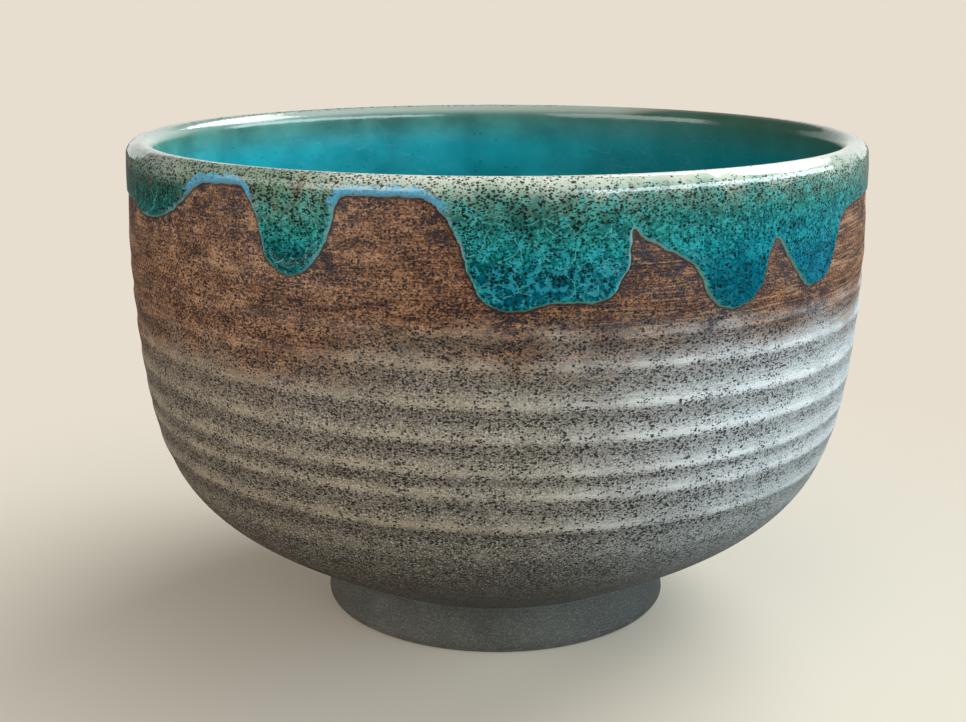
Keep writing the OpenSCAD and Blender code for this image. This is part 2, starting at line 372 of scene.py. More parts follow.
def smooth_curve(corners):
    """Points of the closed curve through the corners (arc, drop)."""
    knots = np.concatenate([corners[-1:] - [GIRTH, 0], corners, corners[:2] + [GIRTH, 0]])
    points = []
    for p0, p1, p2, p3 in zip(knots, knots[1:], knots[2:], knots[3:]):
        steps = max(2, int(np.linalg.norm(p2 - p1) / EDGE_STEP))
        t = (np.arange(steps) / steps)[:, None]
        points.append(0.5 * (2 * p1 + (p2 - p0) * t + (2 * p0 - 5 * p1 + 4 * p2 - p3) * t ** 2
                             + (3 * p1 - p0 - 3 * p2 + p3) * t ** 3))
    return np.concatenate(points)


def glaze_edge():
    """The closed lower edge of the glaze as points (arc, drop); the arc goes once round."""
    front = np.array(FRONT_EDGE, float)
    first, last = FRONT_EDGE[0][0], FRONT_EDGE[-1][0]
    back = np.arange(last + BACK_STARTS, 360 + first - BACK_ENDS, BACK_STEP)
    corners = np.concatenate([front, np.stack([back, run_drop(back)], axis=1)])
    corners[:, 0] *= math.radians(1) * BOWL_R
    points = smooth_curve(corners)
    spots = [noise_spot(arc / BOWL_R, WAVER_R, drop * WAVER_H) for arc, drop in points]
    push = np.array([sum(size * noise.noise(spot * fine) for size, fine in WAVER)
                     for spot in spots])
    along = np.gradient(points, axis=0)
    along /= np.linalg.norm(along, axis=1)[:, None]
    across = np.stack([-along[:, 1], along[:, 0]], axis=1)
    return points + across * push[:, None]


def edge_tree():
    """A search tree of the edge's points, which also covers a piece past each end."""
    first, last = EDGE[0, 0], EDGE[-1, 0]
    points = np.concatenate([EDGE, EDGE[EDGE[:, 0] < first + EDGE_OVERLAP] + [GIRTH, 0],
                             EDGE[EDGE[:, 0] > last - EDGE_OVERLAP] - [GIRTH, 0]])
    tree = kdtree.KDTree(len(points))
    for i, (arc, drop) in enumerate(points):
        tree.insert((arc, drop, 0), i)
    tree.balance()
    return tree


EDGE = glaze_edge()
EDGE_TREE = edge_tree()
EDGE_ARCS = np.append(EDGE[:, 0], EDGE[0, 0] + GIRTH)
EDGE_DROPS = np.append(EDGE[:, 1], EDGE[0, 1])


def edge_depth(angle, drop):
    """Distance from the glaze's edge: above 0 under the glaze, below 0 on bare clay."""
    first = EDGE_ARCS[0]
    arc = (np.radians(angle) * BOWL_R - first) % GIRTH + first
    inside = drop < np.interp(arc, EDGE_ARCS, EDGE_DROPS)
    flat = zip(arc.ravel(), drop.ravel())
    away = np.array([EDGE_TREE.find((a, d, 0))[2] for a, d in flat]).reshape(arc.shape)
    return np.where(inside, away, -away)


# ---------- pieces
def clay_profile():
    """The clay body from the middle of its underside out, up, over the lip and down inside,
    and the slice of it that is the outside wall."""
    under = [(r, FOOT_H + FOOT_DISH * (1 - (r / CREASE_R) ** 2))
             for r in np.linspace(CLAY_CORE, CREASE_R - 0.6, 12)]
    heights = np.concatenate([
        np.linspace(FOOT_H, FOOT_H + 1, 4, endpoint=False), np.linspace(FOOT_H + 1, 26, 32),
        np.arange(26.5, 66, RIDGED_ROW), np.linspace(66.3, LIP_Z - 0.3, 15)])
    outside = [(body_r(z), z) for z in heights]
    lip = [(LIP_MID_R + LIP_R * math.cos(a), LIP_Z + LIP_R * math.sin(a))
           for a in np.linspace(0, math.pi, 9)]
    inside = [(inner_r(z), z) for z in np.linspace(LIP_Z - 1, FLOOR_Z + 5, 22)]
    heights = FLOOR_Z + 5 * np.linspace(0.9, 0.0, 14) ** 2
    floor = [(max(inner_r(z), CLAY_CORE), z) for z in heights]
    wall = slice(len(under), len(under) + len(outside))
    return np.array(under + outside + lip + inside + floor), wall


def make_clay():
    profile, wall = clay_profile()
    turn, r, z = turned(full_turn(CLAY_COLUMNS), profile.T)
    r[:, wall] += throwing(turn[:, wall], z[:, wall])
    phase = np.full(z.shape, 0.5)
    phase[:, wall] = crest_phase(turn[:, wall], z[:, wall])
    phase *= 2 * math.pi
    gap = np.full(z.shape, GLAZE_REACH)
    near = np.zeros(z.shape, bool)
    near[:, wall] = z[:, wall] > BOWL_H - GLAZE_REACH
    gap[near] = -edge_depth(turn[near], BOWL_H - z[near])
    values = {"glaze_gap": gap, "crest_cos": np.cos(phase), "crest_sin": np.sin(phase)}
    return make_mesh("stoneware_bowl", around(turn, r, z), grid_faces(*z.shape), values)


def foot_profile():
    """The foot ring, from the bottom of its inner side up, out, down and back under."""
    r, top_z = FOOT_EDGE_R, FOOT_H - 0.02
    base_out, base_in = FOOT_BASE_R, FOOT_BASE_R - FOOT_BASE_W
    top_out, top_in = FOOT_TOP_R, FOOT_TOP_R - FOOT_ROOT_W
    arc = np.linspace(0, math.pi / 2, 7)
    quarter, eighth, twelfth = (np.linspace(0, 1, n + 1)[1:] for n in (4, 8, 12))
    lower_in = [(base_in + r - r * math.sin(a), r - r * math.cos(a)) for a in arc]
    wall_in = [(base_in + (top_in - base_in) * t, r + (top_z - r) * t) for t in eighth]
    top = [(top_in + (top_out - top_in) * t, top_z) for t in quarter]
    wall_out = [(top_out + (base_out - top_out) * t ** 1.5, top_z + (r - top_z) * t)
                for t in twelfth]
    lower_out = [(base_out - r + r * math.cos(a), r - r * math.sin(a)) for a in arc[1:]]
    flat = [(base_out - r - (FOOT_BASE_W - 2 * r) * t, 0.0) for t in quarter[:-1]]
    return np.array(lower_in + wall_in + top + wall_out + lower_out + flat)


def make_foot():
    """The foot ring, slightly out of true."""
    turn, r, z = turned(full_turn(FOOT_COLUMNS), foot_profile().T)
    a = np.radians(turn)
    wobble = sum(size * np.sin(waves * a + offset) for size, waves, offset in FOOT_WOBBLE)
    r += np.clip(z / FOOT_TRUE_H, 0, 1) * wobble - FOOT_INSET
    return make_mesh("stoneware_foot_ring", around(turn, r, z), tube_faces(*z.shape))


def inner_path():
    """The clay's inside from the seam down to the middle: r, z and normals into the bowl."""
    seam = SEAM_Z + np.array([0.5, 0.3, 0.1, 0.02])
    wall = np.linspace(SEAM_Z - 0.2, FLOOR_Z + 8, 30)
    shares = np.append(np.linspace(1, 0, 30)[1:-1], [0.012, 0.005, 0.002, 0])
    z = np.concatenate([seam, wall, FLOOR_Z + 8 * shares ** 2])
    r = inner_r(z)
    dr, dz = np.gradient(r), np.gradient(z)
    size = np.hypot(dr, dz)
    return r, z, dz / size, -dr / size


def make_liner():
    """The inner glaze. Its top tucks level under the rim's glaze at the seam."""
    r, z, nr, nz = inner_path()
    level = smoothstep(z, SEAM_Z - 6, SEAM_Z)
    nr, nz = nr + (-1 - nr) * level, nz * (1 - level)
    thick = LINER_T + POOL_T * np.clip(1 - (r / POOL_R) ** 2, 0, 1) ** 2
    thick -= (TUCK * smoothstep(z, SEAM_Z - 4, SEAM_Z - 1)
              + TUCK_TOP * smoothstep(z, SEAM_Z + 0.1, SEAM_Z + 0.3))
    face = list(zip(np.maximum(r + nr * thick, LINER_CORE), z + nz * thick))
    back = list(zip(np.maximum(r - nr * LINER_BACK, LINER_CORE), z - nz * LINER_BACK))
    profile = np.array(face + back[::-1])
    turn, r, z = turned(full_turn(LINER_COLUMNS), profile.T)
    sides = grid_faces(*z.shape)
    top = np.arange(LINER_COLUMNS) * len(profile)
    bottom, following = top + len(profile) - 1, np.roll(top, -1)
    lid = np.stack([top, bottom, np.roll(bottom, -1), following], axis=1)
    return make_mesh("inner_glaze", around(turn, r, z), np.concatenate([sides, lid]),
                     {"fall": BOWL_H - z}, len(sides))


def rim_angles():
    """Angles round the rim, closer together where the glaze's edge is steep."""
    arc = np.linspace(EDGE_ARCS[0], EDGE_ARCS[-1], RIM_SAMPLES)
    drop = np.interp(arc, EDGE_ARCS, EDGE_DROPS)
    slope = np.abs(np.gradient(drop, arc))
    box = np.ones(RIM_SMOOTHING) / RIM_SMOOTHING
    slope = np.convolve(np.minimum(slope, RIM_STEEP), box, mode="same")
    share = np.cumsum(1 + RIM_CROWD * slope)
    share = (share - share[0]) / (share[-1] - share[0])
    picked = np.interp(np.arange(RIM_COLUMNS) / RIM_COLUMNS, share, arc)
    return np.degrees(picked / BOWL_R)


def rim_rows():
    """Rows of the rim's glaze from the seam inside, over the lip and down the outside: fall
    along that path, then the clay's r (none outside), z and normal."""
    heights = (SEAM_Z, *np.linspace(SEAM_Z + 0.02, LIP_Z, SEAM_ROWS)[:-1])
    inside = [(-LIP_R * math.pi + LIP_START - (LIP_Z - z), inner_r(z), z, -1.0, 0.0)
              for z in heights]
    lip = [(LIP_START - LIP_R * a, LIP_MID_R + LIP_R * math.cos(a), LIP_Z + LIP_R * math.sin(a),
            math.cos(a), math.sin(a)) for a in np.linspace(math.pi, 0, LIP_ROWS)[:-1]]
    outside = [(drop, math.nan, BOWL_H - drop, 1.0, 0.0)
               for drop in np.arange(LIP_START, RIM_END, RIM_ROW)]
    return np.array(inside + lip + outside).T


def bead_thickness(depth, fall):
    """Thickness at a distance inside the edge: thin on the wall, a rounded bead at the tips."""
    low = smoothstep(fall, *LOW_RUN)
    height = COAT_T - COAT_THINS * smoothstep(fall, *COAT_THINS_FROM) + BEAD_T * low
    width = BEAD_W + BEAD_W_LOW * low
    t = np.clip(depth / width, 0, 1)
    bead = height * np.sqrt(1 - (1 - t) ** 2)
    settle = SETTLE * low * smoothstep(depth, width, width * SETTLE_W)
    return np.where(depth > 0, bead - settle, np.maximum(depth * 1.2, -0.3))


def swells(turn, fall, depth):
    """Slow swells of the glaze outside, away from its edge."""
    height = np.zeros(fall.shape)
    for at in zip(*np.nonzero(depth > SWELL_EDGE)):
        spot = noise_spot(math.radians(turn[at]), SWELL_R, fall[at] * SWELL_H)
        height[at] = SWELL * noise.noise(spot) * min(1, depth[at] - SWELL_EDGE)
    return np.where(fall > 0, height, 0)


def sheet_walls(keep, columns, rows):
    """Quads that close a sheet between its face and its back, all along its border."""
    shift = columns * rows
    walls = []
    padded = np.zeros((columns, rows + 1), bool)
    padded[:, 1:-1] = keep
    for i, j in zip(*np.nonzero(padded[:, 1:] != padded[:, :-1])):
        a, b = i * rows + j, ((i + 1) % columns) * rows + j
        below = padded[i, j + 1]
        walls.append((a, b, b + shift, a + shift) if below else (b, a, a + shift, b + shift))
    for i, j in zip(*np.nonzero(keep != np.roll(keep, 1, axis=0))):
        a, b = i * rows + j, i * rows + j + 1
        walls.append((b, a, a + shift, b + shift) if keep[i, j]
                     else (a, b, b + shift, a + shift))
    return np.array(walls)


def make_rim():
    """The rim's glaze: a sheet over the lip that ends in runs, with a face and a back."""
    turn, fall, r, z, nr, nz = turned(rim_angles(), rim_rows())
    outside = np.isnan(r)
    r = np.where(outside, outer_r(turn, z), r)

    depth = edge_depth(turn, fall)
    fill = np.where(outside, (body_r(z) - r) * smoothstep(depth, 0.2, 1.6), 0)
    thick = np.where(fall < LIP_START, RIM_T * smoothstep(depth, -0.2, 0.6),
                     bead_thickness(depth, fall) + fill)
    thick = thick + swells(turn, fall, depth)

    wet = depth > -RIM_MARGIN
    after = np.roll(wet, -1, axis=0)
    keep = wet[:, :-1] | wet[:, 1:] | after[:, :-1] | after[:, 1:]
    sheet = grid_faces(*fall.shape, keep)
    faces = np.concatenate([sheet[:, ::-1], sheet + fall.size, sheet_walls(keep, *fall.shape)])
    points = np.concatenate([
        around(turn, r + nr * thick, z + nz * thick).reshape(-1, 3),
        around(turn, r - nr * RIM_BACK, z - nz * RIM_BACK).reshape(-1, 3)])
    used = np.zeros(len(points), bool)
    used[faces.ravel()] = True
    index = np.cumsum(used) - 1
    values = {"edge_depth": np.tile(depth.ravel(), 2)[used],
              "fall": np.tile(fall.ravel(), 2)[used]}
    return make_mesh("rim_glaze_runs", points[used], index[faces], values, 2 * len(sheet))


# ---------- shader helper
def linear(colour):
    """A colour as seen on a screen, 0 to 255, in Blender's linear values."""
    shares = [c / 255 for c in colour]
    curve = [c / 12.92 if c <= 10 / 255 else ((c + 0.055) / 1.055) ** 2.4 for c in shares]
    return (*curve, 1.0)


class Shader:
    """Builds one procedural material round a Principled shader. Positions are in millimetres: x to
    the right, y to the back and z up. Masks run from 0 to 1."""

    def __init__(self, name):
        self.material = bpy.data.materials.new(name)
        self.material.use_nodes = True
        self.tree = self.material.node_tree
        self.tree.nodes.clear()
        self.output = self.add("OutputMaterial")
        self.surface = self.add("BsdfPrincipled")
        self.tree.links.new(self.surface.outputs[0], self.output.inputs[0])
        self.mm = self.scaled(self.add("TexCoord").outputs["Object"], 1 / MM)
        self.colour = None

    @functools.cached_property
    def x(self):
        return self.part(self.mm, "X")

    @functools.cached_property
    def y(self):
        return self.part(self.mm, "Y")

    @functools.cached_property
    def z(self):
        return self.part(self.mm, "Z")

    def add(self, kind, **inputs):
        """A node, with values or links for its inputs by name."""
        node = self.tree.nodes.new("ShaderNode" + kind)
        for name, value in inputs.items():
            self.feed(node.inputs[name], value)
        return node

    def feed(self, socket, value):
        if isinstance(value, bpy.types.NodeSocket):
            self.tree.links.new(value, socket)
        elif socket.type == "RGBA":
            socket.default_value = linear(value)
        else:
            socket.default_value = value

    def feed_all(self, node, *values):
        """Values or links for the node's inputs in their order."""
        for socket, value in zip(node.inputs, values):
            self.feed(socket, value)
        return node.outputs[0]

    def vector(self, operation, *vectors, scale=1.0):
        node = self.add("VectorMath")
        node.operation = operation
        self.feed_all(node, *vectors)
        node.inputs[3].default_value = scale
        return node.outputs

    def scaled(self, vector, scale):
        return self.vector("SCALE", vector, scale=scale)[0]

    def moved(self, vector, offset):
        return self.vector("ADD", vector, offset)[0]

    def stretched(self, *factors):
        """The position with its axes stretched, so that what is read there is squeezed."""
        return self.vector("MULTIPLY", self.mm, factors)[0]

    def shifted(self, vector, shift):
        """Another part of a texture, so that two of them don't match."""
        return self.moved(vector, (shift, shift * 1.7, shift * 0.6))

    def part(self, vector, name):
        return self.add("SeparateXYZ", Vector=vector).outputs[name]

    def attribute(self, name):
        node = self.add("Attribute")
        node.attribute_name = name
        return node.outputs["Fac"]

    def math(self, operation, first, second=0.0):
        node = self.add("Math")
        node.operation = operation
        return self.feed_all(node, first, second)

    def times(self, *values):
        return functools.reduce(functools.partial(self.math, "MULTIPLY"), values)

    def plus(self, *values):
        return functools.reduce(functools.partial(self.math, "ADD"), values)

    def minus(self, first, second):
        return self.math("SUBTRACT", first, second)

    def fade(self, value, low, high, start=0.0, end=1.0):
        """A soft step: start where value is at low, end where it is at high."""
        node = self.add("MapRange")
        node.interpolation_type = "SMOOTHSTEP"
        return self.feed_all(node, value, low, high, start, end)

    def noise(self, size, detail=2.0, flat=1.0, rough=0.5, shift=0.0):
        """Soft noise about 0.5 with features about size mm across, lower where flat is above 1."""
        place = self.stretched(1, 1, flat)
        if shift:
            place = self.shifted(place, shift)
        return self.add("TexNoise", Vector=place, Scale=1 / size, Detail=detail,
                        Roughness=rough).outputs[0]

    def swing(self, *shape, **more):
        """The same noise about 0."""
        return self.minus(self.noise(*shape, **more), 0.5)

    def bent_place(self, reach):
        """The position, pushed about by soft noise so that cells get curved sides."""
        bend = self.add("TexNoise", Vector=self.mm, Scale=0.5, Detail=1)
        return self.moved(self.mm, self.scaled(bend.outputs["Color"], reach))

    def cells(self, size, place, feature="F1"):
        """Shrinkage cells: the distance to the nearest edge or point, and a random colour."""
        node = self.add("TexVoronoi", Vector=place, Scale=1 / size)
        node.feature = feature
        return node.outputs

    def mix(self, factor, first, second, blend="MIX"):
        node = self.add("Mix")
        node.data_type = "RGBA"
        node.blend_type = blend
        # These are its sockets for colours; the others are for numbers and vectors.
        for index, value in ((0, factor), (6, first), (7, second)):
            self.feed(node.inputs[index], value)
        return node.outputs[2]

    def over(self, colour, *masks):
        """Lays a colour over what is painted so far, as strongly as the masks times each other."""
        self.colour = self.mix(self.times(*masks), self.colour, colour)

    def ramp(self, value, stops):
        node = self.add("ValToRGB", Fac=value)
        items = node.color_ramp.elements
        while len(items) < len(stops):
            items.new(0.5)
        for item, (place, colour) in zip(items, stops):
            item.position = place
            item.color = linear(colour)
        return node.outputs[0]

    def finish(self, roughness, relief, **inputs):
        """Puts the colour, the roughness, the relief in millimetres and more on the surface."""
        bump = self.add("Bump", Strength=1.0, Distance=MM, Height=relief).outputs[0]
        named = {"Base Color": self.colour, "Roughness": roughness, "Normal": bump, **inputs}
        for name, value in named.items():
            self.feed(self.surface.inputs[name], value)
        return self.material


# ---------- grains
def dots(s, cell, density, radius, shift=0.0):
    """Ragged grains of iron: a cell has one where the density beats its random number."""
    place = s.shifted(s.stretched(*GRAIN_SQUASH), shift)
    rag = s.add("TexNoise", Vector=place, Scale=1 / (radius * 1.2), Detail=1)
    place = s.moved(place, s.scaled(rag.outputs["Color"], radius * 1.6))
    grain = s.cells(cell, place)
    chance = s.part(grain["Color"], "X")
    reach = s.fade(s.part(grain["Color"], "Y"), 0, 1, radius * 0.6, radius * 1.3)
    edge = s.minus(reach, s.times(grain["Distance"], cell))
    return s.times(s.fade(edge, -0.03, 0.05), s.fade(s.minus(density, chance), 0.0, 0.05))


def iron_specks(s, density, shift=0.0):
    """Fine and coarse grains together."""
    fine = dots(s, FINE_CELL, s.plus(density, 0.10), FINE_R, shift)
    coarse = dots(s, COARSE_CELL, s.times(density, 0.72), COARSE_R, shift + 37)
    return s.math("MAXIMUM", fine, coarse)


def sprinkle_sand(s, pale, dark, starts, full, amount):
    """Pale and dark grains of sand, where fine noise is so far above or below its middle."""
    sand = s.noise(SAND, 2, shift=15)
    s.over(pale, s.fade(sand, 0.5 + starts, 0.5 + full, 0.0, amount))
    s.over(dark, s.fade(sand, 0.5 - starts, 0.5 - full, 0.0, 0.6))


# ---------- clay
def paint_stone(s, drop):
    """Buff-grey stoneware, greener and darker towards the foot, with streaks from the wheel, and a
    pale cool painted sheen on the right.
    """
    patch = s.noise(7, 3, 1.6)
    # Painted sheen: the wall turns pale and cool towards the right, less so at the back.
    cool = s.times(s.fade(s.x, 2, 42), s.fade(s.y, 15, -25, 0.4, 1.0))
    upper = s.mix(s.times(cool, 0.85), s.ramp(patch, UPPER_STONE), UPPER_PAINTED_SHEEN)
    lower = s.mix(s.times(cool, 0.75), s.ramp(patch, LOWER_STONE), LOWER_PAINTED_SHEEN)
    s.colour = s.mix(s.fade(drop, 42, 56), upper, lower)
    s.over(WARM_SIDE, s.fade(s.x, 22, -36, 0.0, 0.6))
    s.over(STREAK_AND_VALLEY_SHADE, s.fade(s.noise(5, 3, 14, shift=11), 0.35, 0.65, 0.0, 0.3))
    sprinkle_sand(s, PALE_SAND, DARK_SAND, 0.01, 0.14, 0.6)


def wash_mask(s, drop):
    """Where the iron wash is: down to a cloudy edge, which is lower on the left."""
    cloud = s.times(s.swing(14, 3, 1.5, shift=3), 16)
    return s.fade(s.plus(drop, cloud, s.fade(s.x, -2, -40, 0.0, -6.0)), 31, 17)


def wash_colour(s):
    """Red-brown iron that dried mottled, with fine lines from the wheel."""
    lines = s.noise(7, 3, 22, 0.55, shift=23)
    mottle = s.noise(0.34, 3, 1.3, 0.6, shift=7)
    tone = s.noise(5, 3, 2.4, shift=29)
    shade = s.plus(s.times(mottle, 0.58), s.times(lines, 0.14), s.times(tone, 0.28),
                   s.fade(s.x, -45, 25, 0.022, -0.006))
    brown = s.mix(s.fade(s.x, -30, 10), s.ramp(shade, IRON_WASH), WASH_TO_RIGHT, "MULTIPLY")
    along = s.times(s.fade(lines, 0.54, 0.60), s.fade(s.x, -10, 20, 0.15, 0.5))
    return s.mix(along, brown, WASH_LINE)


def crest_masks(s, drop, bare):
    """The pale thread on each crest, partly a painted highlight, painted light on the slope above
    it and painted shade in the valley below it.
    """
    turn = s.math("ARCTAN2", s.attribute("crest_sin"), s.attribute("crest_cos"))
    crest = s.math("FRACT", s.times(turn, 0.5 / math.pi))
    ridged = s.times(s.fade(drop, 15, 22), s.fade(drop, 56, 48))
    uneven = s.fade(s.noise(9, 2, 0.5, shift=91), 0.38, 0.6, 0.3, 1.0)
    off_crest = s.times(s.math("PINGPONG", crest, 0.5), CREST_SPACE)
    frayed = s.plus(off_crest, s.times(s.swing(0.5, 3, 1.4, 0.6, shift=73), 1.5))
    thread = s.times(s.fade(frayed, 0.75, 0.10), ridged, uneven, bare,
                     s.fade(s.x, -30, 35, 0.45, 1.0))
    above = s.times(s.fade(crest, 0.55, 0.95), ridged, uneven)
    below = s.times(s.fade(crest, 0.04, 0.16), s.fade(crest, 0.75, 0.35), ridged)
    return thread, above, below


def clay_speck_density(s, drop, thread, above, below):
    """Grains gather in clumps, in the valleys as part of their painted shade, and on the trimmed
    belly, and thin out to the right under the painted sheen.
    """
    clump = s.times(s.swing(3.0, 2, 1.6, shift=31), 2.2)
    return s.plus(clump, s.times(below, 0.38), s.times(above, -0.15), s.times(thread, -0.15),
                  s.fade(drop, 70, 64, -0.3, 0.0), s.times(s.fade(drop, 53, 57), 0.26),
                  s.fade(s.x, 26, 54, 0.0, -0.32), 0.44)


def paint_glaze_border(s):
    """Blue-black grains near the glaze, and the stain along its edge."""
    gap = s.attribute("glaze_gap")
    s.over(BLUE_SPECK, s.fade(s.noise(1.3, 3, 1.3, 0.6, shift=47), 0.48, 0.58),
           s.fade(gap, 7, 1, 0.0, 0.8), s.fade(s.noise(9, 1, shift=53), 0.42, 0.56))
    s.over(GLAZE_STAIN, s.fade(gap, 0.5, 0.1, 0.0, 0.8))


def clay_material():
    s = Shader("stoneware")
    drop = s.minus(BOWL_H, s.z)
    wash = wash_mask(s, drop)
    bare = s.minus(1.0, s.times(wash, 0.85))
    thread, above, below = crest_masks(s, drop, bare)
    specks = iron_specks(s, clay_speck_density(s, drop, thread, above, below))

    paint_stone(s, drop)
    s.over(wash_colour(s), wash)
    # Painted shade in the valley below each crest.
    s.over(STREAK_AND_VALLEY_SHADE, below, bare, 0.26)
    # Painted light on the slope above each crest, whiter to the right.
    s.over(s.mix(s.fade(s.x, -12, 36), *CREST_SLOPE_PAINTED_LIGHT_LEFT_RIGHT), above, bare, 0.42)
    # The crest's pale thread, partly a painted highlight, whiter to the right.
    s.over(s.mix(s.fade(s.x, -5, 34), *CREST_THREAD_AND_HIGHLIGHT_LEFT_RIGHT), thread, 0.75)
    # The iron grains are fainter on the far right, under the painted sheen.
    s.over(IRON_SPECK, specks, s.fade(drop, 70, 48, 0.55, 0.95), s.fade(s.x, 36, 58, 1.0, 0.6))
    paint_glaze_border(s)

    grit = s.noise(GRIT, 3, shift=61)
    lines = s.noise(2.5, 3, 14, shift=71)
    roughness = s.plus(s.fade(grit, 0.3, 0.7, 0.36, 0.52), s.times(specks, -0.08))
    relief = s.plus(s.times(grit, 0.06), s.times(lines, 0.07), s.times(specks, 0.015),
                    s.times(thread, 0.02))
    shine = s.fade(wash, 0.2, 0.8, 0.7, 0.25)
    return s.finish(roughness, relief, **{"Specular IOR Level": shine})


def foot_material():
    """The same clay, painted darker as shade and darker still on its right, with a rim worn pale
    where it stands.
    """
    s = Shader("foot_stoneware")
    s.colour = s.ramp(s.noise(5, 3), FOOT_STONE_AND_SHADE)
    # Painted shade on the foot's right.
    s.over(FOOT_PAINTED_SHADE_RIGHT, s.fade(s.x, 2, 26, 0.0, 0.8))
    sprinkle_sand(s, FOOT_PALE_SAND, FOOT_DARK_SAND, 0.02, 0.20, 0.3)
    density = s.fade(s.noise(2.5, 2, shift=9), 0.35, 0.7, 0.1, 0.6)
    s.over(FOOT_SPECK, iron_specks(s, density), 0.5)
    s.over(FOOT_WORN, s.fade(s.plus(s.z, s.times(s.noise(3, 2), 0.8)), 1.3, 0.5, 0.0, 0.5))
    grit = s.noise(GRIT, 3, shift=61)
    relief = s.plus(s.times(grit, 0.06), s.times(s.noise(2.5, 2, 12), 0.05))
    return s.finish(s.fade(grit, 0.3, 0.7, 0.55, 0.72), relief)


# ---------- glaze
def pool_colour(s, fall):
    """The clear turquoise of the inside, olive just under the lip, with painted shade that makes it
    darker to the right.
    """
    cloud = s.noise(9, 3, 1.3)
    # Painted shade: the inside darkens towards the right.
    right = s.times(s.fade(s.x, -15, 50), 0.8)
    deep = s.mix(right, s.ramp(cloud, POOL), POOL_PAINTED_SHADE_RIGHT)
    under_lip = s.mix(right, s.ramp(cloud, UNDER_LIP), UNDER_LIP_PAINTED_SHADE_RIGHT)
    return s.mix(s.fade(fall, 1.0, 9.0), under_lip, deep)


def crackle_lines(s, size, width):
    """Fine curved lines between shrinkage cells, which come and go."""
    to_edge = s.cells(size, s.bent_place(1.1), "DISTANCE_TO_EDGE")["Distance"]
    lines = s.fade(to_edge, width / size, 0.0)
    return s.times(lines, s.fade(s.noise(2.4, 2, shift=83), 0.36, 0.54))


def facets(s, size):
    """A random shade, 0 to 1, for each small crackle cell."""
    return s.part(s.cells(size, s.bent_place(1.2))["Color"], "X")


def finish_glaze(s, crackle, rough, **inputs):
    roughness = s.plus(s.fade(s.noise(3, 2, shift=5), 0.3, 0.7, -0.03, 0.04), rough)
    relief = s.plus(s.times(s.noise(1.6, 2, shift=13), 0.05),
                    s.times(s.noise(0.5, 2, shift=14), 0.012), s.times(crackle, -0.008))
    return s.finish(roughness, relief, IOR=1.5, **inputs)


def liner_material():
    s = Shader("liner_glaze")
    fall = s.attribute("fall")
    s.colour = pool_colour(s, fall)
    s.over(FLOOR_POOL, s.fade(fall, 50, 66, 0.0, 0.55))
    density = s.fade(s.noise(5, 2, shift=19), 0.35, 0.7, 0.0, 0.3)
    s.over(LINER_SPECK, dots(s, LINER_CELL, density, LINER_R), 0.5)
    crackle = crackle_lines(s, 3.4, 0.08)
    s.over(LINER_CRACK, crackle, 0.06)
    return finish_glaze(s, crackle, 0.2)


class RimGlaze(Shader):
    """The rim's glaze, from the cream of the thin lip to the teal of the thick tips."""

    def __init__(self):
        super().__init__("rim_glaze")
        self.fall = self.attribute("fall")
        self.depth = self.attribute("edge_depth")
        self.front = self.fade(self.y, 0, -20)
        self.wander = self.swing(4, 3, shift=3)
        # The narrow run on the left, which is thinner and greener.
        self.left = self.times(self.fade(self.x, -17, -29), self.fade(self.x, -50, -42),
                               self.fade(self.y, 0, -15))


def paint_coat(s):
    """The colour by the fall, patchy and faceted."""
    fall, left = s.fall, s.left
    thinner = s.times(left, s.fade(fall, 2, 5), s.fade(fall, 10, 6), -2.2)
    level = s.plus(fall, s.times(s.wander, 4), thinner)
    s.colour = s.ramp(s.math("DIVIDE", level, 20), RIM_GLAZE)
    s.over(LEFT_GREEN, left, s.fade(fall, 6, 3), 0.75)
    tinted = s.fade(fall, 0.5, 3.5)
    shade = s.plus(s.times(s.noise(0.42, 3, 0.9, 0.6, shift=17), 0.55),
                   s.times(s.noise(2.2, 2, shift=18), 0.3), s.times(facets(s, 0.5), 0.15))
    s.over(MILKY_GLAZE, s.fade(shade, 0.50, 0.60), tinted, 0.8)
    s.over(DARK_GLAZE, s.fade(shade, 0.50, 0.40), tinted, s.fade(fall, 5, 10, 0.45, 0.62))
    off_middle = s.math("ABSOLUTE", s.minus(s.x, 5.5))
    s.over(MIDDLE_STAIN, s.fade(off_middle, 8, 2), s.front, s.fade(fall, 1, 3),
           s.fade(fall, 12, 7), s.fade(s.noise(2, 2, shift=43), 0.4, 0.6), 0.45)


def paint_depths(s):
    """The darker glaze where it ran thick, and the tints of each side."""
    x, fall, left = s.x, s.fall, s.left
    low = s.fade(s.plus(fall, s.times(left, 2.0)), 9.5, 14)
    patchy = s.fade(s.noise(3, 2, shift=21), 0.3, 0.6, 0.5, 1.0)
    s.over(s.mix(left, DEEP_GLAZE, DEEP_LEFT_GLAZE), low, patchy, s.fade(s.depth, 0.3, 0.9),
           s.fade(left, 0, 1, 0.75, 0.95))
    s.over(RIGHT_GLAZE, s.fade(x, 12, 44), s.front, s.fade(fall, 4, 10), 0.5)
    s.over(s.mix(s.fade(x, 32, 38), *TIP_LEFT_RIGHT), s.fade(x, 24, 34), s.fade(fall, 10, 15),
           s.fade(s.depth, 0.3, 1.0), 0.7)
    s.over(LEFT_END_GLAZE, s.fade(x, -28, -46), s.front, s.fade(fall, 1, 4), 0.75)


